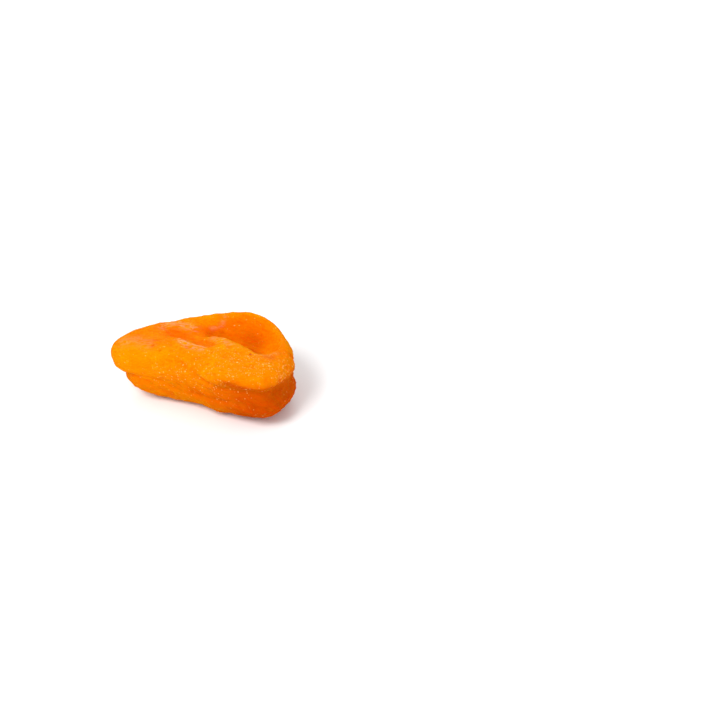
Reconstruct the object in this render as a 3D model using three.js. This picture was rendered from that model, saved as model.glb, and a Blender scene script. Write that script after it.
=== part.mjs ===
// A dried apricot, pitted and kept whole: one leathery fruit that has shrunk flat, with a hollow pressed
// into its upper cheek and a crease round its side. Millimetres, +Z up. It lies on a small flat spot at
// z = 0, +X is the blunt end, -X the narrow tip, and the origin is under the middle of its length and width.

import * as THREE from "three";

// Overall size of the finished fruit
const length = 44;
const width = 28.5;
const thickness = 16.2;

// Outlines of the fruit seen from above, anticlockwise from the blunt end: x, y and height above the table
const lowerCheek = [
  [22.2, -0.6, 4.8], [18.4, 8.2, 5.4], [10.0, 13.6, 5.6],
  [1.0, 12.6, 5.6], [-8.0, 9.8, 5.8], [-15.0, 6.4, 6.0],
  [-18.0, 1.4, 5.8], [-16.1, -3.1, 5.6], [-9.9, -4.6, 6.3],
  [-1.0, -6.8, 6.2], [8.0, -10.3, 5.5], [18.6, -11.0, 4.9],
];
const lip = [
  [22.0, 0.0, 9.8], [18.4, 8.8, 10.6], [10.4, 15.0, 11.5],
  [1.0, 13.9, 10.6], [-8.0, 11.3, 11.1], [-16.4, 7.8, 10.4],
  [-21.7, 2.4, 9.8], [-18.7, -3.4, 8.6], [-10.7, -5.1, 9.2],
  [-1.4, -7.2, 10.8], [8.0, -11.7, 12.9], [17.6, -11.2, 11.4],
];
const rim = [
  [18.4, 1.6, 13.6], [16.4, 8.8, 13.9], [9.6, 13.4, 15.4],
  [2.4, 11.7, 15.1], [-7.0, 9.1, 14.4], [-12.8, 6.2, 13.9],
  [-15.6, 2.8, 13.4], [-12.4, 0.6, 13.6], [-6.2, 0.6, 14.2],
  [2.0, -1.2, 14.9], [8.2, -1.8, 15.7], [14.6, -3.4, 15.0],
];

// The crease under the lip at the same twelve places: how far it is drawn in, and how far up the side it is
const creaseDepth = [0.8, 1.1, 0.5, 0.9, 0.5, 0.6, 0.8, 0.5, 0.0, 0.0, 0.6, 1.2];
const creaseLevel = [0.65, 0.5, 0.62, 0.7, 0.5, 0.42, 0.35, 0.4, 0.5, 0.6, 0.68, 0.7];

// The flat spot it lies on, and the floor of the hollow, which falls towards the blunt end. The top drops
// from the rim into the hollow at once, but stays level for most of the way on the side of the narrow tip.
const foot = { x: 4.6, y: 0.9, reachX: 5.0, reachY: 3.4 };
const floor = { x: 7.8, y: 6.8, reachX: 3.4, reachY: 1.8, height: 10.3, fall: 0.12 };
const drop = { steepness: 0.6, levelShare: 4.4, levelTowards: 0.55, levelFocus: 2 };

// From rim to lip the shoulder is a superellipse, round all about but more like a roof towards roofTowards
const roundPower = 2;
const roofPower = 1.5;
const roofTowards = 0.83;

// Folds pressed into the skin (height below 0) or raised from it, each along a line of x, y, z points
const folds = [
  { name: "valley along the top", spread: 1.6, height: -0.55,
    line: [[-9.4, 6.6, 13.6], [-5.6, 4.5, 13.7], [-2.6, 2.8, 14.0], [-0.1, 1.4, 14.3], [2.5, 0.2, 14.8]] },
  { name: "ridge beside the valley", spread: 0.8, height: 0.3,
    line: [[-6.8, 3.0, 13.6], [-3.8, 0.3, 14.3], [-0.6, -1.2, 14.3], [1.4, -2.1, 14.5], [4.5, -3.2, 15.0]] },
  { name: "slit under the ridge", spread: 0.4, height: -0.3,
    line: [[-4.0, -0.7, 14.2], [-1.7, -1.7, 14.2]] },
  { name: "bump beside the hollow", spread: 1.3, height: 0.7,
    line: [[0.0, 5.6, 13.8], [1.9, 4.3, 14.0], [3.8, 2.6, 14.6], [5.4, 1.2, 15.1]] },
  { name: "shelf on the far side", spread: 1.1, height: 0.4,
    line: [[-11.0, 7.6, 14.0], [-5.5, 6.9, 13.9], [-0.7, 7.4, 13.6], [2.6, 9.0, 13.4]] },
  { name: "ridge on the near face", spread: 1.0, height: 0.35,
    line: [
      [-11.2, -2.8, 13.3], [-9.2, -4.4, 12.3], [-7.8, -5.4, 11.4], [-5.4, -5.8, 11.4], [-1.4, -6.8, 11.6],
    ] },
  { name: "crease on the near face", spread: 0.6, height: -0.35,
    line: [
      [-2.9, -5.7, 12.2], [-0.4, -7.1, 11.8], [1.1, -8.3, 11.2], [2.7, -8.9, 10.4], [3.7, -9.3, 10.0],
    ] },
  { name: "crease above the lip", spread: 0.6, height: -0.25,
    line: [[4.7, -9.1, 13.1], [6.8, -10.8, 12.8], [8.8, -11.8, 12.3]] },
  { name: "crease under the near lip", spread: 0.7, height: -0.5,
    line: [[5.6, -10.0, 9.5], [9.0, -11.2, 10.0], [14.9, -11.8, 9.6]] },
  { name: "long crease of the lower cheek", spread: 0.6, height: -0.45,
    line: [[-0.7, -7.1, 5.8], [3.9, -9.1, 5.8], [7.7, -10.6, 6.0], [11.4, -11.8, 5.7]] },
  { name: "short crease of the lower cheek", spread: 0.45, height: -0.35,
    line: [[6.9, -10.4, 6.0], [9.4, -11.1, 6.9], [11.7, -11.8, 7.0]] },
  { name: "upper ridge at the blunt end", spread: 0.55, height: 0.35,
    line: [[11.4, -11.8, 8.6], [14.1, -11.7, 7.8], [16.6, -11.6, 6.8], [20.5, -8.0, 6.6]] },
  { name: "lower ridge at the blunt end", spread: 0.55, height: 0.3,
    line: [[10.0, -11.8, 5.2], [16.0, -12.3, 4.6], [21.0, -7.0, 5.4]] },
  { name: "notch in the lip", spread: 0.7, height: -0.6,
    line: [[19.0, -8.2, 8.6], [20.0, -6.8, 10.8]] },
  { name: "crease under the tip", spread: 0.6, height: -0.5,
    line: [[-17.1, -3.0, 6.9], [-14.3, -4.3, 6.9], [-12.6, -4.8, 6.2], [-10.6, -5.3, 5.8]] },
  { name: "tuck at the back", spread: 0.8, height: -0.6,
    line: [[-12.0, 8.2, 8.2], [-8.0, 9.6, 7.2], [-3.0, 11.2, 8.6], [2.0, 12.8, 7.8]] },
  { name: "ridge at the back", spread: 1.0, height: 0.4,
    line: [[-2.0, 11.6, 5.0], [5.0, 13.4, 5.6], [13.0, 12.2, 4.6]] },
  { name: "tuck in the blunt end", spread: 0.8, height: -0.5,
    line: [[21.5, 2.0, 12.0], [22.3, 2.6, 8.0], [20.5, 3.0, 3.5]] },
  { name: "second tuck in the blunt end", spread: 0.8, height: -0.4,
    line: [[19.0, 8.8, 11.5], [20.0, 7.5, 7.5], [18.5, 7.0, 3.5]] },
  { name: "tuck down the back", spread: 0.8, height: -0.45,
    line: [[7.0, 15.0, 11.5], [6.5, 14.2, 7.5], [5.0, 12.6, 3.2]] },
  { name: "second tuck down the back", spread: 0.8, height: -0.4,
    line: [[-6.0, 11.6, 11.0], [-6.4, 10.6, 7.5], [-6.5, 8.6, 3.0]] },
  { name: "long fold of the underside", spread: 1.0, height: -0.6,
    line: [[-14.0, 1.6, 2.6], [-6.0, 4.4, 1.4], [3.0, 7.6, 1.2], [10.0, 8.6, 1.4]] },
  { name: "short fold of the underside", spread: 0.8, height: -0.5,
    line: [[-9.0, -1.4, 1.8], [-3.0, -3.2, 1.2], [1.6, -5.0, 1.0]] },
];

// Wrinkles: each length is the spacing of the wrinkles in millimetres, each height how far they stand out,
// of which the share above is over the skin and the rest under it
const warp = { size: 6, reach: 3 };
const swelling = { size: 9, height: 0.7 };
const wrinkle = { along: 9, across: 3, height: 0.28, extraBelowLip: 0.22, slope: 0.35, above: 0.4 };
const seeds = { warp: [11, 12, 13], swelling: 21, wrinkle: 31 };
const lipLevel = 9;
const lipFade = 4;
const calmInHollow = 0.4;
const calmAboveTable = 1.5;

// Mesh: columns round the fruit, and rows in each band from under the fruit to the floor of the hollow
const columns = 118;
const rows = { foot: 2, underside: 10, side: 10, shoulder: 9, wall: 15, floor: 3 };

const skin = new THREE.MeshStandardMaterial({ name: "skin", color: 0xf88a0c, roughness: 0.45 });

function smoothStep(t) {
  return t * t * (3 - 2 * t);
}

function closedCurve(points) {
  return new THREE.CatmullRomCurve3(points.map((p) => new THREE.Vector3(...p)), true, "catmullrom", 0.5);
}

const lowerCheekCurve = closedCurve(lowerCheek);
const lipCurve = closedCurve(lip);
const rimCurve = closedCurve(rim);
const creaseCurve = closedCurve(creaseDepth.map((depth, i) => [depth, creaseLevel[i], 0]));

function ellipsePoint(ellipse, u) {
  const angle = 2 * Math.PI * u;
  const x = ellipse.x + ellipse.reachX * Math.cos(angle);
  const y = ellipse.y + ellipse.reachY * Math.sin(angle);
  return new THREE.Vector3(x, y, 0);
}

const footMiddle = new THREE.Vector3(foot.x, foot.y, 0);
const floorMiddle = new THREE.Vector3(floor.x, floor.y, floor.height);

// A point on the way from one outline to the next, with its own share of the way in plan and in height
function between(from, to, planShare, heightShare) {
  const point = new THREE.Vector3().lerpVectors(from, to, planShare);
  point.z = from.z + (to.z - from.z) * heightShare;
  return point;
}

// One column of the surface, towards u (0 to 1 round the fruit), from the foot to the floor of the hollow.
// Each point has the share of the wrinkling that it keeps, which grows less down into the hollow.
function columnPoints(u) {
  const onFoot = ellipsePoint(foot, u);
  const onCheek = lowerCheekCurve.getPoint(u);
  const onLip = lipCurve.getPoint(u);
  const onRim = rimCurve.getPoint(u);
  const onFloor = ellipsePoint(floor, u);
  onFloor.z = floor.height - floor.fall * (onFloor.x - floor.x);
  const tipSide = (1 + Math.cos(2 * Math.PI * (u - drop.levelTowards))) / 2;
  const dropPower = drop.steepness + drop.levelShare * tipSide ** drop.levelFocus;
  const tangent = lowerCheekCurve.getTangent(u);
  const inward = new THREE.Vector3(-tangent.y, tangent.x, 0).normalize();
  const { x: depth, y: level } = creaseCurve.getPoint(u);
  const roofShare = Math.max(0, Math.cos(2 * Math.PI * (u - roofTowards))) ** 2;
  const power = 2 / (roundPower + (roofPower - roundPower) * roofShare);
  const column = [];
  const add = (point, share = 1) => column.push({ point, share });
  for (let i = 1; i < rows.foot; i++) {
    add(between(footMiddle, onFoot, i / rows.foot, 0));
  }
  for (let i = 0; i < rows.underside; i++) {
    const angle = (Math.PI / 2) * (i / rows.underside);
    add(between(onFoot, onCheek, Math.sin(angle), 1 - Math.cos(angle)));
  }
  for (let i = 0; i < rows.side; i++) {
    const t = i / rows.side;
    const rise = smoothStep(Math.min(t / level, 1));
    const fall = 1 - smoothStep(Math.max((t - level) / (1 - level), 0));
    add(between(onCheek, onLip, smoothStep(t), t).addScaledVector(inward, depth * rise * fall));
  }
  for (let i = 0; i < rows.shoulder; i++) {
    const angle = (Math.PI / 2) * (i / rows.shoulder);
    add(between(onRim, onLip, Math.cos(angle) ** power, 1 - Math.sin(angle) ** power));
  }
  for (let i = 0; i < rows.wall; i++) {
    const t = i / rows.wall;
    const down = smoothStep(t ** dropPower);
    add(between(onRim, onFloor, t, down), 1 - calmInHollow * down);
  }
  for (let i = 0; i < rows.floor; i++) {
    const t = i / rows.floor;
    add(between(onFloor, floorMiddle, t, t), 1 - calmInHollow);
  }
  return column;
}

// A repeatable random value, 0 to 1, for a corner of a unit lattice
function cornerValue(ix, iy, iz, seed) {
  let hash = Math.imul(ix, 73856093) ^ Math.imul(iy, 19349663);
  hash ^= Math.imul(iz, 83492791) ^ Math.imul(seed, 2654435761);
  hash = Math.imul(hash ^ (hash >>> 13), 1274126177);
  hash ^= hash >>> 16;
  hash = Math.imul(hash, 2246822519);
  hash ^= hash >>> 13;
  return (hash >>> 0) / 2 ** 32;
}

// Smooth noise, 0 to 1, between the corners of the lattice
function noise(x, y, z, seed) {
  const ix = Math.floor(x);
  const iy = Math.floor(y);
  const iz = Math.floor(z);
  const fade = (t) => t * t * t * (t * (t * 6 - 15) + 10);
  const weights = [fade(x - ix), fade(y - iy), fade(z - iz)];
  let sum = 0;
  for (let corner = 0; corner < 8; corner++) {
    const step = [corner & 1, (corner >> 1) & 1, (corner >> 2) & 1];
    const weight = step.reduce((product, s, k) => product * (s ? weights[k] : 1 - weights[k]), 1);
    sum += weight * cornerValue(ix + step[0], iy + step[1], iz + step[2], seed);
  }
  return sum;
}

// Folds: a soft ridge or groove round each line
function foldHeight(point) {
  const closest = new THREE.Vector3();
  let height = 0;
  for (const fold of folds) {
    const corners = fold.line.map((p) => new THREE.Vector3(...p));
    let nearest = Infinity;
    for (let i = 1; i < corners.length; i++) {
      new THREE.Line3(corners[i - 1], corners[i]).closestPointToPoint(point, true, closest);
      nearest = Math.min(nearest, closest.distanceTo(point));
    }
    height += fold.height * Math.exp(-((nearest / fold.spread) ** 2));
  }
  return height;
}

// Wrinkles: a broad swelling, and ridges drawn out along the fruit and warped so that no two are alike
function wrinkleHeight(point) {
  const { x, y, z } = point;
  const shifted = seeds.warp.map((seed) => noise(x / warp.size, y / warp.size, z / warp.size, seed) - 0.5);
  const wx = x + warp.reach * shifted[0];
  const wy = y + warp.reach * shifted[1];
  const wz = z + warp.reach * shifted[2] + wrinkle.slope * wx;
  const swell = noise(x / swelling.size, y / swelling.size, z / swelling.size, seeds.swelling) - 0.5;
  const value = noise(wx / wrinkle.along, wy / wrinkle.across, wz / wrinkle.across, seeds.wrinkle);
  const ridge = wrinkle.above - Math.abs(2 * value - 1);
  const belowLip = THREE.MathUtils.clamp((lipLevel - z) / lipFade, 0, 1);
  return swelling.height * swell + (wrinkle.height + wrinkle.extraBelowLip * belowLip) * ridge;
}

// Two triangles for one cell of the grid, cut along its shorter diagonal
function cellTriangles(positions, a, b, c, d) {
  const [pointA, pointB, pointC, pointD] = [a, b, c, d].map((vertex) => {
    return new THREE.Vector3().fromArray(positions, 3 * vertex);
  });
  const alongAC = pointA.distanceTo(pointC) < pointB.distanceTo(pointD);
  return alongAC ? [a, b, c, a, c, d] : [a, b, d, b, c, d];
}

// The closed skin: one point under the foot, the columns, and one point in the middle of the floor
function closedSkin() {
  const grid = [];
  for (let column = 0; column < columns; column++) {
    grid.push(columnPoints(column / columns));
  }
  const levels = grid[0].length;
  const positions = footMiddle.toArray();
  const shares = [1];
  for (let level = 0; level < levels; level++) {
    for (let column = 0; column < columns; column++) {
      positions.push(...grid[column][level].point.toArray());
      shares.push(grid[column][level].share);
    }
  }
  positions.push(...floorMiddle.toArray());
  shares.push(1 - calmInHollow);
  const last = 1 + levels * columns;
  const index = [];
  const vertex = (level, column) => 1 + level * columns + (column % columns);
  for (let column = 0; column < columns; column++) {
    index.push(0, vertex(0, column + 1), vertex(0, column));
    for (let level = 1; level < levels; level++) {
      const a = vertex(level - 1, column);
      const b = vertex(level - 1, column + 1);
      const c = vertex(level, column + 1);
      const d = vertex(level, column);
      index.push(...cellTriangles(positions, a, b, c, d));
    }
    index.push(last, vertex(levels - 1, column), vertex(levels - 1, column + 1));
  }
  const geometry = new THREE.BufferGeometry();
  geometry.setAttribute("position", new THREE.Float32BufferAttribute(positions, 3));
  geometry.setIndex(index);
  geometry.computeVertexNormals();
  return { geometry, shares };
}

// Every point moves along its normal by the folds and wrinkles, which fade out towards the flat spot
function addRelief(geometry, shares) {
  const position = geometry.getAttribute("position");
  const normal = geometry.getAttribute("normal");
  const point = new THREE.Vector3();
  const direction = new THREE.Vector3();
  for (let i = 0; i < position.count; i++) {
    point.fromBufferAttribute(position, i);
    direction.fromBufferAttribute(normal, i);
    const nearTable = Math.min(point.z / calmAboveTable, 1);
    const height = (foldHeight(point) + shares[i] * wrinkleHeight(point)) * nearTable;
    point.addScaledVector(direction, height);
    position.setXYZ(i, point.x, point.y, point.z);
  }
}

// The fruit is brought to its overall size, with the origin under the middle of its box
function fitToSize(geometry) {
  geometry.computeBoundingBox();
  const box = geometry.boundingBox;
  const size = box.getSize(new THREE.Vector3());
  const middle = box.getCenter(new THREE.Vector3());
  geometry.translate(-middle.x, -middle.y, -box.min.z);
  geometry.scale(length / size.x, width / size.y, thickness / size.z);
  geometry.computeVertexNormals();
}

const { geometry, shares } = closedSkin();
addRelief(geometry, shares);
fitToSize(geometry);

const apricot = new THREE.Mesh(geometry, skin);
apricot.name = "apricot";

const part = new THREE.Group();
part.add(apricot);

export default part;
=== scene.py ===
import math

import bpy
import numpy as np
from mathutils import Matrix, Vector


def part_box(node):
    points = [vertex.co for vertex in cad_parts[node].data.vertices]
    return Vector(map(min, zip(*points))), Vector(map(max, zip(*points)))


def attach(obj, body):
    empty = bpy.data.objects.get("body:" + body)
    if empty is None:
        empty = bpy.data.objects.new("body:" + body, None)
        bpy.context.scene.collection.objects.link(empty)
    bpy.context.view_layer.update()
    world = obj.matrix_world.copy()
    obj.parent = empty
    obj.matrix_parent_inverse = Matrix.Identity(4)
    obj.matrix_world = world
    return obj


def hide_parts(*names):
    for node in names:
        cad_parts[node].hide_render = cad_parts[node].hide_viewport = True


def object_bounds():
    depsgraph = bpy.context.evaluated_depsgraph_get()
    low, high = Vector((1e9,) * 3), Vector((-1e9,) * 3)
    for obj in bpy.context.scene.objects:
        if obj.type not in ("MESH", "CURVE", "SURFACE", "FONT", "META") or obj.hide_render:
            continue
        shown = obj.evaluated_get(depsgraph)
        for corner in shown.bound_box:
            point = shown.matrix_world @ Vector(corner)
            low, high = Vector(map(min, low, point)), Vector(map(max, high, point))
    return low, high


# A whole pitted dried apricot lying on a pale table: one leathery fruit, made as a fine surface from
# the same outlines as its solid, with the small wrinkles, the mottled colour and the sugar specks that
# the solid leaves out. The dictionaries hold millimetres unless they say otherwise; the mesh is brought
# to the solid's own box, in metres.

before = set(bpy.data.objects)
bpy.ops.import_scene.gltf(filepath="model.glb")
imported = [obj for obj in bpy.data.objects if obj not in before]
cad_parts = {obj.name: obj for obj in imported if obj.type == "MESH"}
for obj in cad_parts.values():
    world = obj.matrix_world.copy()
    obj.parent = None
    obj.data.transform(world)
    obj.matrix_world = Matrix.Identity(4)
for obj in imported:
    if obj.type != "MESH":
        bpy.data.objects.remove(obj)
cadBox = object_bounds()

perMetre = 1000.0  # millimetres in a metre


def linear(hexColour):
    # sRGB hex to linear RGBA
    parts = [int(hexColour[i:i + 2], 16) / 255 for i in (1, 3, 5)]
    return [c / 12.92 if c <= 0.04045 else ((c + 0.055) / 1.055) ** 2.4 for c in parts] + [1.0]


def addNode(tree, kind, settings, **links):
    # settings name the node's properties or its inputs; links join sockets to inputs, "_" standing for
    # a space. A number is an input's place in the node: a colour Mix has its share at 0, its colours at
    # 6 and 7
    node = tree.nodes.new(kind)
    for name, value in settings.items():
        if isinstance(name, str) and hasattr(node, name):
            setattr(node, name, value)
        else:
            node.inputs[name].default_value = value
    for name, socket in links.items():
        key = int(name[1:]) if name[1:].isdigit() else name.replace("_", " ")
        tree.links.new(socket, node.inputs[key])
    return node


def addObject(name, data):
    holder = bpy.data.objects.new(name, data)
    bpy.context.scene.collection.objects.link(holder)
    return holder


def clamp(t):
    # no less than 0 and no more than 1
    return np.clip(t, 0.0, 1.0)


def smoothStep(t):
    # 3 t squared less 2 t cubed, for t from 0 to 1
    return t * t * (3 - 2 * t)


def fade(value, start, end):
    # a smooth step from 0 at the start to 1 at the end
    return smoothStep(clamp((value - start) / (end - start)))


fruit = {
    "columns": 480,
    "rows": {"foot": 4, "underside": 34, "side": 40, "shoulder": 50, "wall": 60, "floor": 12},
    # outlines seen from above, anticlockwise from the blunt end: x, y and height above the table
    "lowerCheek": [
        (22.2, -0.6, 4.8), (18.4, 8.2, 5.4), (10.0, 13.6, 5.6), (1.0, 12.6, 5.6), (-8.0, 9.8, 5.8),
        (-15.0, 6.4, 6.0), (-18.0, 1.4, 5.8), (-16.1, -3.1, 5.6), (-9.9, -4.6, 6.3), (-1.0, -6.8, 6.2),
        (8.0, -10.3, 5.5), (18.6, -11.0, 4.9),
    ],
    "lip": [
        (22.0, 0.0, 9.8), (18.4, 8.8, 10.6), (10.4, 15.0, 11.5), (1.0, 13.9, 10.6), (-8.0, 11.3, 11.1),
        (-16.4, 7.8, 10.4), (-21.7, 2.4, 9.8), (-18.7, -3.4, 8.6), (-10.7, -5.1, 9.2),
        (-1.4, -7.2, 10.8), (8.0, -11.7, 12.9), (17.6, -11.2, 11.4),
    ],
    "rim": [
        (18.4, 1.6, 13.6), (16.4, 8.8, 13.9), (9.6, 13.4, 15.4), (2.4, 11.7, 15.1), (-7.0, 9.1, 14.4),
        (-12.8, 6.2, 13.9), (-15.6, 2.8, 13.4), (-12.4, 0.6, 13.6), (-6.2, 0.6, 14.2), (2.0, -1.2, 14.9),
        (8.2, -1.8, 15.7), (14.6, -3.4, 15.0),
    ],
    # the crease under the lip: how far it is drawn in, and how far up the side it lies
    "creaseDepth": [0.8, 1.1, 0.5, 0.9, 0.5, 0.6, 0.8, 0.5, 0.0, 0.0, 0.6, 1.2],
    "creaseLevel": [0.65, 0.5, 0.62, 0.7, 0.5, 0.42, 0.35, 0.4, 0.5, 0.6, 0.68, 0.7],
    # the ellipses that the fruit rests on and that close its hollow; fall is the slope of the second
    "foot": {"x": 4.6, "y": 0.9, "reachX": 5.0, "reachY": 3.4},
    "floor": {"x": 7.8, "y": 6.8, "reachX": 3.4, "reachY": 1.8, "height": 10.3, "fall": 0.12},
    # how steeply the hollow's wall starts down, and how far it stays level on the side of the tip;
    # a direction is a share of the way round
    "drop": {"steepness": 0.6, "levelShare": 4.4, "levelTowards": 0.55, "levelFocus": 2.0},
    # the shoulder's superellipse: 2 is round, and less is flatter, like a roof
    "roundPower": 2,
    "roofPower": 1.5,
    "roofTowards": 0.83,
}

# folds: spread and height of a ridge, or of a groove if below 0, along a line of x, y, z points
folds = {
    "valley along the top": (1.6, -0.55, [
        (-9.4, 6.6, 13.6), (-5.6, 4.5, 13.7), (-2.6, 2.8, 14.0), (-0.1, 1.4, 14.3), (2.5, 0.2, 14.8),
    ]),
    "ridge beside the valley": (0.8, 0.3, [
        (-6.8, 3.0, 13.6), (-3.8, 0.3, 14.3), (-0.6, -1.2, 14.3), (1.4, -2.1, 14.5), (4.5, -3.2, 15.0),
    ]),
    "slit under the ridge": (0.4, -0.3, [(-4.0, -0.7, 14.2), (-1.7, -1.7, 14.2)]),
    "bump beside the hollow": (1.3, 0.7, [
        (0.0, 5.6, 13.8), (1.9, 4.3, 14.0), (3.8, 2.6, 14.6), (5.4, 1.2, 15.1),
    ]),
    "shelf on the far side": (1.1, 0.4, [
        (-11.0, 7.6, 14.0), (-5.5, 6.9, 13.9), (-0.7, 7.4, 13.6), (2.6, 9.0, 13.4),
    ]),
    "ridge on the near face": (1, 0.35, [
        (-11.2, -2.8, 13.3), (-9.2, -4.4, 12.3), (-7.8, -5.4, 11.4), (-5.4, -5.8, 11.4),
        (-1.4, -6.8, 11.6),
    ]),
    "crease on the near face": (0.6, -0.35, [
        (-2.9, -5.7, 12.2), (-0.4, -7.1, 11.8), (1.1, -8.3, 11.2), (2.7, -8.9, 10.4), (3.7, -9.3, 10.0),
    ]),
    "crease above the lip": (0.6, -0.25, [(4.7, -9.1, 13.1), (6.8, -10.8, 12.8), (8.8, -11.8, 12.3)]),
    "crease under the near lip": (0.7, -0.5, [
        (5.6, -10.0, 9.5), (9.0, -11.2, 10.0), (14.9, -11.8, 9.6),
    ]),
    "long crease of the lower cheek": (0.6, -0.45, [
        (-0.7, -7.1, 5.8), (3.9, -9.1, 5.8), (7.7, -10.6, 6.0), (11.4, -11.8, 5.7),
    ]),
    "short crease of the lower cheek": (0.45, -0.35, [
        (6.9, -10.4, 6.0), (9.4, -11.1, 6.9), (11.7, -11.8, 7.0),
    ]),
    "upper ridge at the blunt end": (0.55, 0.35, [
        (11.4, -11.8, 8.6), (14.1, -11.7, 7.8), (16.6, -11.6, 6.8), (20.5, -8.0, 6.6),
    ]),
    "lower ridge at the blunt end": (0.55, 0.3, [
        (10.0, -11.8, 5.2), (16.0, -12.3, 4.6), (21.0, -7.0, 5.4),
    ]),
    "notch in the lip": (0.7, -0.6, [(19.0, -8.2, 8.6), (20.0, -6.8, 10.8)]),
    "crease under the tip": (0.6, -0.5, [
        (-17.1, -3.0, 6.9), (-14.3, -4.3, 6.9), (-12.6, -4.8, 6.2), (-10.6, -5.3, 5.8),
    ]),
    "tuck at the back": (0.8, -0.6, [
        (-12.0, 8.2, 8.2), (-8.0, 9.6, 7.2), (-3.0, 11.2, 8.6), (2.0, 12.8, 7.8),
    ]),
    "ridge at the back": (1, 0.4, [(-2.0, 11.6, 5.0), (5.0, 13.4, 5.6), (13.0, 12.2, 4.6)]),
    "tuck in the blunt end": (0.8, -0.5, [(21.5, 2.0, 12.0), (22.3, 2.6, 8.0), (20.5, 3.0, 3.5)]),
    "second tuck in the blunt end": (0.8, -0.4, [(19.0, 8.8, 11.5), (20.0, 7.5, 7.5), (18.5, 7.0, 3.5)]),
    "tuck down the back": (0.8, -0.45, [(7.0, 15.0, 11.5), (6.5, 14.2, 7.5), (5.0, 12.6, 3.2)]),
    "second tuck down the back": (0.8, -0.4, [(-6.0, 11.6, 11.0), (-6.4, 10.6, 7.5), (-6.5, 8.6, 3.0)]),
    "long fold of the underside": (1, -0.6, [
        (-14.0, 1.6, 2.6), (-6.0, 4.4, 1.4), (3.0, 7.6, 1.2), (10.0, 8.6, 1.4),
    ]),
    "short fold of the underside": (0.8, -0.5, [(-9.0, -1.4, 1.8), (-3.0, -3.2, 1.2), (1.6, -5.0, 1.0)]),
}

# wrinkles: each length is their spacing, each height how far they stand out
wrinkles = {
    "warpSize": 6, "warpReach": 3, "warpSeeds": (11, 12, 13),
    "swellSize": 9, "swellHeight": 0.7, "swellSeed": 21,
    "along": 9, "across": 3, "height": 0.28, "extraBelowLip": 0.22, "slope": 0.35, "ridgeSeed": 31,
    # the leathery puckers, in two sizes: along, across, height, more below the lip, seed
    "puckers": [(3.6, 1.2, 0.22, 0.10, 41), (1.8, 0.65, 0.14, 0.04, 51)],
    "zeroLevel": 0.4,  # what is taken off a ridge's 0 to 1, so that crests and furrows balance
    "belowLip": (9, 5),  # heights from which, and down to which, the wrinkles grow
    "calmInHollow": 0.4, "calmPuckersInHollow": 0.3, "calmAboveTable": 1.5,
    # the top of the tip is smoother: where that ends, how far it takes, and the share that is left
    "smoothTip": -13, "smoothTipFade": 6, "leftAtTip": 0.3,
}

# noise: large odd numbers that scatter the corners of its lattice, and the folds, each with the bits
# that it shifts by and the number that it multiplies by
scatter = {
    "corner": (73856093, 19349663, 83492791), "seed": 2654435761,
    "folds": ((13, 1274126177), (16, 2246822519)), "lastShift": 13,
}


def closedCurve(points, u):
    # uniform Catmull-Rom curve through a closed ring of points: each stretch is the cubic whose slope
    # at a point is half the step from the point before it to the point after it
    ring = np.asarray(points, float).reshape(len(points), -1)
    place = (u % 1.0) * len(ring)
    first = np.floor(place).astype(int)
    t = (place - first)[:, None]
    p0, p1, p2, p3 = [ring[(first + k) % len(ring)] for k in (-1, 0, 1, 2)]
    bend = 2 * p0 - 5 * p1 + 4 * p2 - p3
    twist = -p0 + 3 * p1 - 3 * p2 + p3
    return 0.5 * (2 * p1 + (p2 - p0) * t + bend * t ** 2 + twist * t ** 3)


def flatEllipse(s, height, angle):
    # the middle, and the edge: the middle plus the cosine and sine of the angle times the two reaches
    centre = np.array([s["x"], s["y"], height])
    circle = np.stack([np.cos(angle), np.sin(angle), 0 * angle], -1)
    return centre, centre + circle * [s["reachX"], s["reachY"], 0]


def between(start, end, planShare, heightShare):
    # start plus a share of the step to the end, with its own share in plan and in height
    return start + (end - start) * np.stack([planShare, planShare, heightShare], -1)


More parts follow.
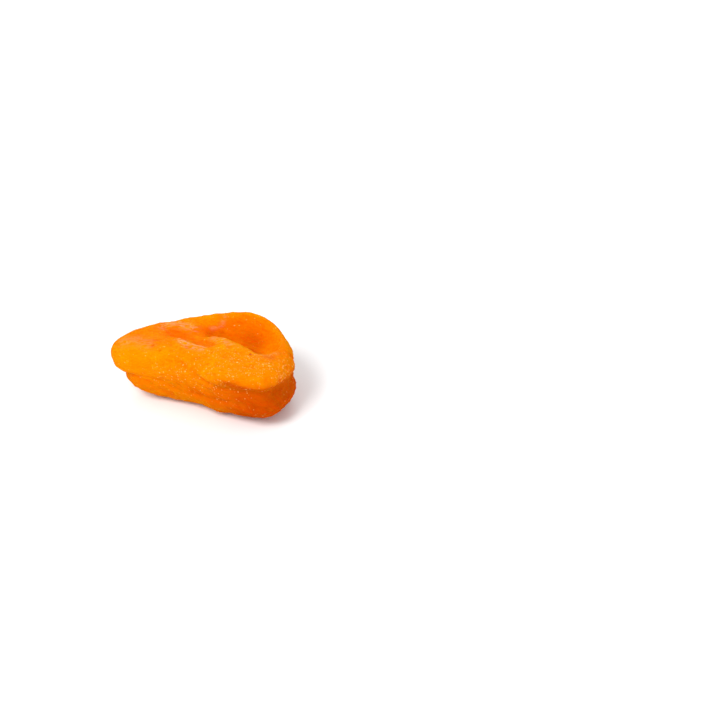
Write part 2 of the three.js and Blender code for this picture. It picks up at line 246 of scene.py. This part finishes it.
def fruitGrid(s):
    # rows run from under the fruit to the bottom of the hollow, columns go round it, each by one of six
    # laws. Foot: straight out in a flat ellipse. Underside: a quarter ellipse out and up. Side: a smooth
    # step out and straight up, drawn in by the crease. Shoulder: a superellipse in and up. Wall of the
    # hollow: straight in, a smooth step down to a flat ellipse. Floor of the hollow: straight in
    u = np.arange(s["columns"]) / s["columns"]
    angle = 2 * np.pi * u
    cheek, lip, rim = [closedCurve(s[name], u) for name in ("lowerCheek", "lip", "rim")]
    floor, drop = s["floor"], s["drop"]
    footMiddle, footEdge = flatEllipse(s["foot"], 0.0, angle)
    floorMiddle, floorEdge = flatEllipse(floor, floor["height"], angle)
    floorEdge[:, 2] -= floor["fall"] * floor["reachX"] * np.cos(angle)
    tangent = np.roll(cheek, -1, 0) - np.roll(cheek, 1, 0)
    inward = np.stack([-tangent[:, 1], tangent[:, 0], 0 * angle], -1)
    inward /= np.linalg.norm(inward, axis=1, keepdims=True)
    # from 0 in the first row of each stretch; its end is the next one's first row
    way = {name: np.arange(count)[:, None] / count + 0 * u for name, count in s["rows"].items()}

    t = way["foot"]
    footRows = between(footMiddle, footEdge, t, 0 * t)

    turn = np.pi / 2 * way["underside"]
    undersideRows = between(footEdge, cheek, np.sin(turn), 1 - np.cos(turn))

    t = way["side"]
    depth = closedCurve(s["creaseDepth"], u)[:, 0]
    level = closedCurve(s["creaseLevel"], u)[:, 0]
    rise = smoothStep(np.minimum(t / level, 1))
    fall = 1 - smoothStep(np.maximum((t - level) / (1 - level), 0))
    crease = depth * rise * fall
    sideRows = between(cheek, lip, smoothStep(t), t) + inward * crease[..., None]

    turn = np.pi / 2 * way["shoulder"]
    roofShare = np.maximum(0, np.cos(2 * np.pi * (u - s["roofTowards"]))) ** 2
    power = 2 / (s["roundPower"] + (s["roofPower"] - s["roundPower"]) * roofShare)
    shoulderRows = between(rim, lip, np.cos(turn) ** power, 1 - np.sin(turn) ** power)

    t = way["wall"]
    tipSide = (1 + np.cos(2 * np.pi * (u - drop["levelTowards"]))) / 2
    down = smoothStep(t ** (drop["steepness"] + drop["levelShare"] * tipSide ** drop["levelFocus"]))
    wallRows = between(rim, floorEdge, t, down)

    t = np.concatenate([way["floor"], np.ones((1, len(u)))])
    floorRows = between(floorEdge, floorMiddle, t, t)

    outside = [footRows, undersideRows, sideRows, shoulderRows]
    grid = np.concatenate(outside + [wallRows, floorRows])
    none = [np.zeros(rows.shape[:2]) for rows in outside]
    inHollow = np.concatenate(none + [down, np.ones(t.shape)])
    inCrease = np.concatenate(none[:2] + [crease, none[3], 0 * down, 0 * t])
    return grid, inHollow, inCrease, lip[:, 2]


def gridNormals(grid):
    # the cross product of the steps along the grid's two directions, straight down and up at its ends
    alongRow = np.roll(grid, -1, 1) - np.roll(grid, 1, 1)
    normals = np.cross(alongRow, np.gradient(grid, axis=0))
    normals /= np.maximum(np.linalg.norm(normals, axis=-1, keepdims=True), 1e-9)
    normals[0] = (0, 0, -1)
    normals[-1] = (0, 0, 1)
    return normals


def cornerValue(corner, seed):
    # a repeatable random value, 0 to 1, for a corner of a unit lattice: its three numbers and the seed,
    # each multiplied, are joined by exclusive or, then folded and multiplied, all in 32 bits
    allBits = 0xffffffff
    whole = (corner.astype(np.int64) & allBits).astype(np.uint64)
    mask = np.uint64(allBits)
    value = np.bitwise_xor.reduce(whole * np.array(scatter["corner"], np.uint64) & mask, axis=-1)
    value ^= np.uint64(seed * scatter["seed"] & allBits)
    for shift, factor in scatter["folds"]:
        value = (value ^ (value >> np.uint64(shift))) * np.uint64(factor) & mask
    value ^= value >> np.uint64(scatter["lastShift"])
    return value.astype(float) / (allBits + 1)


def noise(points, seed):
    # smooth noise, 0 to 1: the eight corner values round a point, weighted by a fifth-order fade
    corner = np.floor(points)
    t = points - corner
    weight = t * t * t * (t * (t * 6 - 15) + 10)
    total = 0
    for step in np.ndindex(2, 2, 2):
        share = np.where(step, weight, 1 - weight).prod(-1)
        total = total + share * cornerValue(corner + step, seed)
    return total


def distanceToLine(points, line):
    # the distance to the nearest point of a line of straight stretches
    nearest = np.full(points.shape[:-1], np.inf)
    for start, end in zip(np.array(line[:-1], float), np.array(line[1:], float)):
        step = end - start
        t = clamp((points - start) @ step / (step @ step))
        gap = np.linalg.norm(points - (start + t[..., None] * step), axis=-1)
        nearest = np.minimum(nearest, gap)
    return nearest


def bellsAlong(points, lines):
    # every line adds its height times e to the power of less the square of distance over spread
    return sum(height * np.exp(-(distanceToLine(points, line) / spread) ** 2)
               for spread, height, line in lines.values())


def wrinkleHeight(points, s):
    # a broad swelling, and ridges where a noise drawn out along the fruit and warped passes its middle
    # value: the zero level less twice the distance from it. The puckers are also given on their own
    shift = np.stack([noise(points / s["warpSize"], seed) - 0.5 for seed in s["warpSeeds"]], -1)
    warped = points + s["warpReach"] * shift
    warped[..., 2] += s["slope"] * warped[..., 0]
    highest, lowest = s["belowLip"]
    belowLip = clamp((highest - points[..., 2]) / (highest - lowest))

    def ridges(along, across, seed):
        return s["zeroLevel"] - np.abs(2 * noise(warped / [along, across, across], seed) - 1)

    swell = s["swellHeight"] * (noise(points / s["swellSize"], s["swellSeed"]) - 0.5)
    wrinkle = ridges(s["along"], s["across"], s["ridgeSeed"])
    wrinkle = wrinkle * (s["height"] + s["extraBelowLip"] * belowLip)
    fromTip = smoothStep(clamp((points[..., 0] - s["smoothTip"]) / s["smoothTipFade"] + belowLip))
    lively = s["leftAtTip"] + (1 - s["leftAtTip"]) * fromTip
    fine = sum(lively * (rise + extra * belowLip) * ridges(along, across, seed)
               for along, across, rise, extra, seed in s["puckers"])
    return swell + wrinkle + fine, fine


def pointValues(grid):
    # what each point of the mesh gets: one from the first row, all of the middle rows, one from the last
    inner = grid[1:-1].reshape(-1, *grid.shape[2:])
    return np.concatenate([grid[0, :1], inner, grid[-1, :1]])


def meshFromGrid(name, grid):
    # quads between neighbouring rows and columns; the first and last row are one point each, closed by
    # triangles
    rows, columns = grid.shape[:2]
    points = pointValues(grid)
    level = np.arange(rows - 3)[:, None] * columns + 1
    column = np.arange(columns)[None, :]
    after = (column + 1) % columns
    quads = np.stack([level + column, level + after,
                      level + columns + after, level + columns + column], -1)
    top = 1 + (rows - 3) * columns
    last = len(points) - 1
    footFan = np.stack([0 * column[0], 1 + after[0], 1 + column[0]], -1)
    hollowFan = np.stack([last + 0 * column[0], top + column[0], top + after[0]], -1)
    faces = quads.reshape(-1, 4).tolist() + footFan.tolist() + hollowFan.tolist()
    mesh = bpy.data.meshes.new(name)
    mesh.from_pydata(points.tolist(), [], faces)
    mesh.shade_smooth()
    return addObject(name, mesh)


# where sugar has come out on the skin: spread of each patch, how thick it lies, and its middle line
sugar = {
    "near face": (3.4, 0.85, [(7.0, -8.0, 14.0), (13.0, -8.5, 14.0), (18.5, -6.5, 12.5)]),
    "crest": (2.2, 0.45, [(5.0, -4.0, 14.8), (12.0, -5.0, 15.0), (18.0, -3.0, 14.0)]),
    "long slope": (2.8, 0.32, [(-8.0, -5.4, 9.4), (-2.0, -7.0, 8.8), (5.0, -9.2, 8.6)]),
    "top of the slope": (2.4, 0.35, [(-3.0, -4.0, 13.4), (5.0, -5.0, 14.6)]),
    "lower cheek": (2.4, 0.09, [(-1.0, -6.8, 5.6), (9.0, -10.6, 6.0), (15.0, -11.6, 6.0)]),
    "blunt end": (3.4, 0.6, [(17.5, -3.0, 13.5), (21.5, -3.0, 11.0)]),
    "everywhere": (30.0, 0.06, [(-10.0, 0.0, 8.0), (10.0, 0.0, 8.0)]),
}

# painted shade: where the colour is made deeper to stand for shade in folds and the hollow, on faces
# turned from the light and towards the blunt end, in the same way
shade = {
    "valley": (1.9, 0.65, [
        (-6.8, 4.9, 13.6), (-4.6, 4.2, 13.7), (-2.2, 2.8, 14.1), (-0.2, 1.5, 14.4), (2.6, 0.2, 14.8),
    ]),
    "tip side of the hollow": (1.6, 0.55, [(-1.4, 7.6, 13.7), (1.1, 7.4, 13.4), (2.2, 5.8, 13.6)]),
    "flat top of the tip": (2.6, 0.45, [(-15.0, 2.0, 13.2), (-11.0, 1.0, 13.5), (-8.0, 3.0, 13.5)]),
    "saddle before the hollow": (1.4, 0.5, [(-2.4, 6.0, 13.7), (0.4, 5.2, 13.8), (2.2, 3.8, 14.1)]),
    "far side of the tip": (3.0, 0.45, [(-19.0, 3.8, 11.5), (-12.5, 7.2, 13.0)]),
    "end of the tip": (2.6, 0.25, [(-21.5, 1.6, 9.5), (-19.5, -2.4, 9.3)]),
    "far wall of the hollow": (1.6, 0.25, [(3.6, 10.6, 14.4), (8.0, 11.8, 14.6), (12.5, 10.8, 14.4)]),
    "rim at the blunt end": (1.8, 0.4, [(16.8, -3.0, 14.5), (18.4, 1.6, 13.6), (17.8, 5.5, 13.7)]),
    "near side of the tip": (2.2, 0.3, [(-11.5, 0.3, 13.4), (-7.0, 0.0, 13.9)]),
    "blunt end": (3.6, 0.45, [(19.5, -7.5, 10.5), (21.8, -3.0, 9.8), (22.0, 1.0, 10.5)]),
    "lower cheek": (1.8, 0.6, [(-0.7, -7.1, 5.8), (3.9, -9.1, 5.8), (9.0, -11.0, 5.9)]),
    "under the near lip": (1.6, 0.15, [(6.5, -10.2, 8.6), (9.0, -11.0, 8.8), (14.9, -11.6, 8.8)]),
}

# where the skin is waxy and a pale sheen is painted on it, in the same way
waxAndSheenPatches = {
    "far side of the valley": (0.9, 1.0, [(-10.6, 7.2, 14.0), (-7.4, 8.3, 14.3), (-2.8, 6.9, 13.7)]),
    "ridge beside the valley": (0.75, 1.4, [(-4.9, 1.1, 14.2), (-2.6, -0.8, 14.5), (1.0, -2.0, 14.7)]),
    "near edge of the hollow": (0.8, 0.5, [(2.6, 2.7, 14.3), (5.2, 0.6, 15.0), (7.6, -1.2, 15.7)]),
    "far wall of the hollow": (0.5, 0.6, [(3.5, 11.3, 14.9), (3.3, 9.8, 13.5), (1.0, 8.5, 13.3)]),
    "blunt side of the hollow": (0.9, 0.4, [(14.4, -3.0, 14.8), (16.3, -3.0, 14.6), (17.4, -0.1, 13.7)]),
    "top of the tip": (1.5, 0.4, [(-18.4, 1.4, 12.6), (-15.4, 1.4, 13.4), (-12.0, -0.4, 13.6)]),
}

# how the colours follow the shape; places along the fruit are values of x
colouring = {
    # the painted shade under the lip: how far above the lip it starts, and how far it takes to come in,
    # at the tip and at the blunt end, and where one passes into the other
    "underLipAtTip": (3.4, 7.5), "underLipAtBluntEnd": (1.6, 2.8), "tipToBlunt": (4, 10),
    # its upper edge waves up and down, less so at the blunt end
    "edgeWave": 2.4, "edgeWaveSize": 4.0, "edgeWaveSeed": 61, "edgeCalm": 0.6,
    # where the darker painted shadow towards the blunt end comes in, how much further its edge waves,
    # and where the cheek starts
    "bluntEnd": (0, 13), "bluntWave": 3, "cheek": (-12, -2),
    # how far painted shade deepens the colour in creases and folds, and how much less it does so on the
    # cheek; then the same for painted shade in the puckers, with how much less it does so in the hollow
    "crease": (0.7, 0.35), "fold": (1.3, 0.6), "pucker": (2.5, 1.75),
    # how far painted shade in the hollow deepens the colour, how fast that grows below the rim, and how
    # late it starts
    "hollow": 0.5, "hollowSpeed": 3.2, "hollowDelay": 0.15,
    # the sugar lies in clusters: their size, the least share of sugar, and how much more there can be
    "clusterSize": 2.0, "clusterLeast": 0.2, "clusterMore": 1.5, "clusterSeed": 71,
}


def fruitColouring(grid, inHollow, inCrease, lipLevel, foldRelief, fineRelief):
    # one value for each point of the grid: how far into a fold, a crease or the hollow it lies, which
    # sets the shade painted on it, how far it lies under the lip, where shade is painted too, and how
    # much wax, with its painted sheen, and sugar it carries
    s = colouring
    x, z = grid[..., 0], grid[..., 2]
    tipStart, tipFade = s["underLipAtTip"]
    bluntStart, bluntFade = s["underLipAtBluntEnd"]
    wave = s["edgeWave"] * (noise(grid / s["edgeWaveSize"], s["edgeWaveSeed"]) - 0.5)
    toBlunt = fade(x, *s["tipToBlunt"])
    start = lipLevel + wave * (1 - s["edgeCalm"] * toBlunt)
    start = start + tipStart + (bluntStart - tipStart) * toBlunt
    # where shade is painted under the lip, from 0 at its wavy upper edge to 1 lower down
    underLip = fade(start - z, 0, tipFade + (bluntFade - tipFade) * toBlunt)
    onCheek = underLip * (1 - inHollow) * fade(x, *s["cheek"])

    def deepening(name, place):
        return s[name][0] - s[name][1] * place

    paintedShade = (inCrease * deepening("crease", onCheek)
              + np.maximum(-foldRelief, 0) * deepening("fold", onCheek)
              + np.maximum(-fineRelief, 0) * deepening("pucker", inHollow)
              + s["hollow"] * smoothStep(clamp(inHollow * s["hollowSpeed"] - s["hollowDelay"]))
              + bellsAlong(grid, shade))
    clusters = s["clusterLeast"] + s["clusterMore"] * noise(grid / s["clusterSize"], s["clusterSeed"])
    return {
        "paintedShade": clamp(paintedShade),
        "underLip": underLip,
        "onCheek": onCheek,
        "bluntEnd": fade(x + s["bluntWave"] * wave, *s["bluntEnd"]),
        "waxAndPaintedSheen": clamp(bellsAlong(grid, waxAndSheenPatches)),
        "bloom": clamp(bellsAlong(grid, sugar) * clusters),
    }


def buildFruit():
    # the relief stands out along the normals of the smooth form and dies away at the table; what comes
    # of it is brought to the solid's box by its own factor along each axis
    grid, inHollow, inCrease, lipLevel = fruitGrid(fruit)
    foldRelief = bellsAlong(grid, folds)
    wrinkleRelief, fineRelief = wrinkleHeight(grid, wrinkles)
    relief = (foldRelief + (1 - wrinkles["calmInHollow"] * inHollow) * wrinkleRelief
              - wrinkles["calmPuckersInHollow"] * inHollow * fineRelief)
    nearTable = np.minimum(grid[..., 2] / wrinkles["calmAboveTable"], 1)
    points = grid + gridNormals(grid) * (relief * nearTable)[..., None]

    lowest, highest = [np.array(corner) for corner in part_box("apricot")]
    low, high = points.min((0, 1)), points.max((0, 1))
    placed = lowest + (points - low) * (highest - lowest) / (high - low)
    piece = meshFromGrid("dried_apricot", placed)
    values = fruitColouring(grid, inHollow, inCrease, lipLevel, foldRelief, fineRelief)
    for name, value in values.items():
        attribute = piece.data.attributes.new(name, "FLOAT", "POINT")
        attribute.data.foreach_set("value", pointValues(value).astype(np.float32))
    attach(piece, "root")
    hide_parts("apricot")
    print("fruit:", len(piece.data.vertices), "points,", len(piece.data.polygons), "faces")
    return piece


skin = {
    # golden and orange are the fruit's own tones; the next four are painted shade and painted shadow for
    # folds, the hollow, the underside of the lip and the blunt end, and the wax white is a painted sheen
    "golden": "#e38800", "orange": "#e07d00", "paintedShadeColour": "#e06400",
    "under": "#d27000", "paintedShadowAtBluntEnd": "#b64500", "paintedShadeOnCheek": "#c85800",
    "sugarWhite": "#ffe08a", "paintedSheenWhite": "#ffe8e0", "spotBrown": "#ba4400",
    "shader": {
        "IOR": 1.42,  # sugary fruit flesh with little water left
        "Specular IOR Level": 0.01,
        "Subsurface Weight": 0.4,
        "Subsurface Scale": 0.001,  # so that the radii are millimetres
        "Subsurface Radius": (3.0, 0.6, 0.25),  # red light goes furthest through the flesh
        "Subsurface Anisotropy": 0.6,
        "Coat IOR": 1.45,
        "Coat Roughness": 0.3,
    },
    # patches and mottling: size, the part of the noise that counts, and how far mottling shifts gold
    "patchSize": 11, "patchRange": (0.35, 0.65),
    "mottleSize": 2.6, "mottleRange": (0.3, 0.7), "mottleShift": 0.3,
    "roughness": (0.3, 0.46),  # least and most, following the mottling
    # what is drawn out along the fruit: how much of x, y and z its pattern counts
    "drawnOut": (0.4, 1.1, 1.1),
    # wax: size of the streaks, the part of their noise that counts, paleness of the painted sheen, and
    # gloss
    "streakSize": 0.625, "streakRange": (0.44, 0.54), "paintedSheenShare": 0.1, "waxGloss": 0.5,
    # sugar specks: spacing, radius, how many are kept where the bloom is thickest, how white they are;
    # single crystals are finer, and these are the crumbs that they form
    "specks": [(0.5, 0.19, 1.0, 0.48), (1.0, 0.28, 0.3, 0.6)],
    "speckFaintest": 0.1,
    "crumble": 0.7,  # how far the grain pulls the outlines of the specks about
    # brown spots: x, y and flattened z of each middle, its radius, and how brown it is
    "spots": [
        ((12.4, -5.6, 3.1), 0.5, 0.9),
        ((-11.1, -2.6, 2.75), 0.6, 0.6),
        ((-9.1, -4.0, 2.75), 0.5, 0.45),
    ],
    "flattening": 0.2,  # share of z that counts, which makes a spot taller than wide
    "core": 0.3,  # share of a spot's or speck's radius that has its full colour
    # relief too fine for the mesh: size of the pattern, and strength and depth of its bump
    "puckerSize": 1.0, "puckerBump": (1.0, 0.3),
    "grainSize": 0.55, "grainBump": (0.6, 0.1),
    "speckBump": (0.5, 0.05),
}


def driedApricotSkin():
    # sulphured dried apricot: a leathery skin over moist, half-clear flesh, so that light goes in and
    # comes back orange; dried in the sun until it puckers, which leaves a waxy, broken sheen and tiny
    # crystals of fruit sugar
    s = skin
    material = bpy.data.materials.new("dried apricot skin, leathery and half-clear")
    material.use_nodes = True
    tree = material.node_tree
    shader = tree.nodes["Principled BSDF"]
    for name, value in s["shader"].items():
        shader.inputs[name].default_value = value

    place = addNode(tree, "ShaderNodeTexCoord", {}).outputs["Object"]
    millimetres = addNode(tree, "ShaderNodeVectorMath", {"operation": "SCALE", "Scale": perMetre},
                          _0=place).outputs[0]
    drawnOut = addNode(tree, "ShaderNodeVectorMath", {"operation": "MULTIPLY", 1: s["drawnOut"]},
                       _0=millimetres).outputs[0]
    onFruit = {name: addNode(tree, "ShaderNodeAttribute", {"attribute_name": name}).outputs["Fac"]
               for name in ("paintedShade", "underLip", "onCheek", "bluntEnd", "bloom", "waxAndPaintedSheen")}

    # golden and orange patches as broad as a fingertip, and a fine mottling
    patch = addNode(tree, "ShaderNodeTexNoise", {"Scale": 1 / s["patchSize"], "Detail": 2.0},
                    Vector=millimetres).outputs["Fac"]
    mottle = addNode(tree, "ShaderNodeTexNoise",
                     {"Scale": 1 / s["mottleSize"], "Detail": 5.0, "Roughness": 0.65},
                     Vector=millimetres).outputs["Fac"]
    least, most = s["patchRange"]
    patchShare = addNode(tree, "ShaderNodeMapRange", {"From Min": least, "From Max": most}, Value=patch)
    least, most = s["mottleRange"]
    mottleShare = addNode(tree, "ShaderNodeMapRange", {
        "From Min": least, "From Max": most, "To Min": -s["mottleShift"], "To Max": s["mottleShift"],
    }, Value=mottle)
    goldShare = addNode(tree, "ShaderNodeMath", {"operation": "ADD", "use_clamp": True},
                        _0=patchShare.outputs[0], _1=mottleShare.outputs[0])
    base = addNode(tree, "ShaderNodeMix",
                   {"data_type": "RGBA", 6: linear(s["orange"]), 7: linear(s["golden"])},
                   _0=goldShare.outputs[0])

    # painted shade: a deeper orange under the lip, in the creases and down in the hollow
    # painted shadow: under the lip the colour turns a darker red-brown towards the blunt end
    underside = addNode(tree, "ShaderNodeMix",
                        {"data_type": "RGBA", 6: linear(s["under"]), 7: linear(s["paintedShadowAtBluntEnd"])},
                        _0=onFruit["bluntEnd"])
    under = addNode(tree, "ShaderNodeMix", {"data_type": "RGBA"},
                    _0=onFruit["underLip"], _6=base.outputs[2], _7=underside.outputs[2])
    # painted shade in creases, folds, puckers, the hollow and the shade patches, browner on the cheek
    paintedShadeTone = addNode(tree, "ShaderNodeMix",
                       {"data_type": "RGBA", 6: linear(s["paintedShadeColour"]), 7: linear(s["paintedShadeOnCheek"])},
                       _0=onFruit["onCheek"])
    paintedShadeColour = addNode(tree, "ShaderNodeMix", {"data_type": "RGBA"},
                   _0=onFruit["paintedShade"], _6=under.outputs[2], _7=paintedShadeTone.outputs[2])

    # brown spots where the skin was bruised
    colour = paintedShadeColour.outputs[2]
    flattened = addNode(tree, "ShaderNodeVectorMath",
                        {"operation": "MULTIPLY", 1: (1.0, 1.0, s["flattening"])}, _0=millimetres)
    for spotMiddle, radius, strength in s["spots"]:
        away = addNode(tree, "ShaderNodeVectorMath", {"operation": "DISTANCE", 1: spotMiddle},
                       _0=flattened.outputs[0])
        share = addNode(tree, "ShaderNodeMapRange", {
            "From Min": radius * s["core"], "From Max": radius, "To Min": strength, "To Max": 0.0,
        }, Value=away.outputs["Value"])
        colour = addNode(tree, "ShaderNodeMix", {"data_type": "RGBA", 7: linear(s["spotBrown"])},
                         _0=share.outputs[0], _6=colour).outputs[2]

    # wax: a thin pale film broken into streaks along the fruit, its paleness a painted sheen, with a
    # gloss of its own from the coat
    streak = addNode(tree, "ShaderNodeTexNoise",
                     {"Scale": 1 / s["streakSize"], "Detail": 4.0, "Distortion": 0.8}, Vector=drawnOut)
    least, most = s["streakRange"]
    film = addNode(tree, "ShaderNodeMapRange", {"From Min": least, "From Max": most},
                   Value=streak.outputs["Fac"])
    filmed = addNode(tree, "ShaderNodeMath", {"operation": "MULTIPLY"},
                     _0=film.outputs[0], _1=onFruit["waxAndPaintedSheen"])
    paintedSheen = addNode(tree, "ShaderNodeMath", {"operation": "MULTIPLY", 1: s["paintedSheenShare"]},
                   _0=filmed.outputs[0])
    colour = addNode(tree, "ShaderNodeMix", {"data_type": "RGBA", 7: linear(s["paintedSheenWhite"])},
                     _0=paintedSheen.outputs[0], _6=colour).outputs[2]
    gloss = addNode(tree, "ShaderNodeMath", {"operation": "MULTIPLY", 1: s["waxGloss"]},
                    _0=filmed.outputs[0])
    tree.links.new(gloss.outputs[0], shader.inputs["Coat Weight"])

    # sugar specks in two sizes: small crumbled cells, of which fewer are kept where the bloom is thin
    grain = addNode(tree, "ShaderNodeTexNoise", {"Scale": 1 / s["grainSize"], "Detail": 3.0},
                    Vector=millimetres)
    crumbled = addNode(tree, "ShaderNodeVectorMath",
                       {"operation": "MULTIPLY_ADD", 1: (s["crumble"],) * 3},
                       _0=grain.outputs["Color"], _2=millimetres)
    for spacing, radius, keptShare, strength in s["specks"]:
        cells = addNode(tree, "ShaderNodeTexVoronoi", {"Scale": 1 / spacing}, Vector=crumbled.outputs[0])
        reach = radius / spacing
        near = addNode(tree, "ShaderNodeMapRange", {
            "From Min": reach * s["core"], "From Max": reach, "To Min": 1.0, "To Max": 0.0,
        }, Value=cells.outputs["Distance"])
        draw = addNode(tree, "ShaderNodeSeparateColor", {}, Color=cells.outputs["Color"])
        scarce = addNode(tree, "ShaderNodeMath", {"operation": "MULTIPLY", 1: keptShare},
                         _0=onFruit["bloom"])
        kept = addNode(tree, "ShaderNodeMath", {"operation": "LESS_THAN"},
                       _0=draw.outputs[0], _1=scarce.outputs[0])
        varied = addNode(tree, "ShaderNodeMapRange", {"To Min": s["speckFaintest"], "To Max": strength},
                         Value=draw.outputs[1])
        speck = addNode(tree, "ShaderNodeMath", {"operation": "MULTIPLY"},
                        _0=near.outputs[0], _1=kept.outputs[0])
        faint = addNode(tree, "ShaderNodeMath", {"operation": "MULTIPLY"},
                        _0=speck.outputs[0], _1=varied.outputs[0])
        colour = addNode(tree, "ShaderNodeMix", {"data_type": "RGBA", 7: linear(s["sugarWhite"])},
                         _0=faint.outputs[0], _6=colour).outputs[2]
    tree.links.new(colour, shader.inputs["Base Color"])

    # sheen broken up by the mottling
    least, most = s["mottleRange"]
    smoothest, roughest = s["roughness"]
    sheen = addNode(tree, "ShaderNodeMapRange", {
        "From Min": least, "From Max": most, "To Min": smoothest, "To Max": roughest,
    }, Value=mottle)
    tree.links.new(sheen.outputs[0], shader.inputs["Roughness"])

    # puckers, grain and the larger specks, as bumps on each other
    pucker = addNode(tree, "ShaderNodeTexNoise",
                     {"Scale": 1 / s["puckerSize"], "Detail": 3.0, "Distortion": 0.6}, Vector=drawnOut)
    links = {}
    for name, height in (("puckerBump", pucker.outputs["Fac"]), ("grainBump", grain.outputs["Fac"]),
                         ("speckBump", faint.outputs[0])):
        strength, depth = s[name]
        bump = addNode(tree, "ShaderNodeBump", {"Strength": strength, "Distance": depth / perMetre},
                       Height=height, **links)
        links = {"Normal": bump.outputs[0]}
    tree.links.new(bump.outputs[0], shader.inputs["Normal"])
    return material


tableTop = {"size": 4.0, "colour": "#f4f4f4", "roughness": 0.9}  # size in metres

world = {"colour": "#ffffff", "strength": 0.775}

# place in metres, size and power of each soft box; sheen says whether it shows in the gloss
lamps = {
    "key from the left": {"place": (-0.20, -0.28, 0.40), "size": 0.25, "power": 2.15, "sheen": False},
    "low fill from the right": {"place": (0.32, -0.30, 0.06), "size": 0.2, "power": 0.5, "sheen": False},
    "back left": {"place": (-0.06, 0.44, 0.28), "size": 0.2, "power": 0.5, "sheen": True},
}

# angles in degrees, lens and sensor in millimetres; the fruit's middle in pixels from the upper left
view = {
    "azimuth": 8.0, "elevation": 33.0, "lens": 100.0, "sensor": 36.0, "farthest": 100,
    "imageSize": 708, "pixelsPerMillimetre": 4.3, "fruitMiddle": (203.5, 364.3),
}


def buildTable():
    # a square of four corners, half its size out from the middle both ways
    half = tableTop["size"] / 2
    corners = [(-half, -half, 0), (half, -half, 0), (half, half, 0), (-half, half, 0)]
    mesh = bpy.data.meshes.new("table")
    mesh.from_pydata(corners, [], [(0, 1, 2, 3)])
    table = addObject("table", mesh)
    material = bpy.data.materials.new("matt white table")
    material.use_nodes = True
    shader = material.node_tree.nodes["Principled BSDF"]
    shader.inputs["Base Color"].default_value = linear(tableTop["colour"])
    shader.inputs["Roughness"].default_value = tableTop["roughness"]
    mesh.materials.append(material)
    table.visible_glossy = False


def buildLight():
    studio = bpy.data.worlds.new("studio")
    bpy.context.scene.world = studio
    studio.use_nodes = True
    background = studio.node_tree.nodes["Background"]
    background.inputs["Color"].default_value = linear(world["colour"])
    background.inputs["Strength"].default_value = world["strength"]
    studio.cycles_visibility.glossy = False
    for name, lamp in lamps.items():
        light = bpy.data.lights.new(name, "AREA")
        light.size = lamp["size"]
        light.energy = lamp["power"]
        holder = addObject(name, light)
        holder.location = lamp["place"]
        holder.rotation_euler = Vector(lamp["place"]).to_track_quat("Z", "Y").to_euler()
        holder.visible_glossy = lamp["sheen"]


def buildCamera():
    # the camera stands back far enough for one millimetre of fruit to be as many pixels as asked, and
    # is then moved sideways and up, square to its view, until the fruit's middle is where it should be
    azimuth, elevation = math.radians(view["azimuth"]), math.radians(view["elevation"])
    back = Vector((math.sin(azimuth) * math.cos(elevation),
                   -math.cos(azimuth) * math.cos(elevation),
                   math.sin(elevation)))
    right = Vector((math.cos(azimuth), math.sin(azimuth), 0))
    up = back.cross(right)
    scale = view["pixelsPerMillimetre"] * perMetre
    distance = view["imageSize"] / scale * view["lens"] / view["sensor"]
    offsetRight = (view["fruitMiddle"][0] - view["imageSize"] / 2) / scale
    offsetUp = (view["imageSize"] / 2 - view["fruitMiddle"][1]) / scale
    middle = (cadBox[0] + cadBox[1]) / 2
    camera = bpy.data.cameras.new("camera")
    camera.lens = view["lens"]
    camera.sensor_width = view["sensor"]
    camera.clip_end = view["farthest"]
    holder = addObject("camera", camera)
    holder.location = middle - right * offsetRight - up * offsetUp + back * distance
    holder.rotation_euler = back.to_track_quat("Z", "Y").to_euler()
    bpy.context.scene.camera = holder


apricot = buildFruit()
apricot.data.materials.append(driedApricotSkin())
print("skin: done")
buildTable()
buildLight()
buildCamera()
bpy.context.scene.view_settings.view_transform = "Standard"
print("table, light and camera: done")
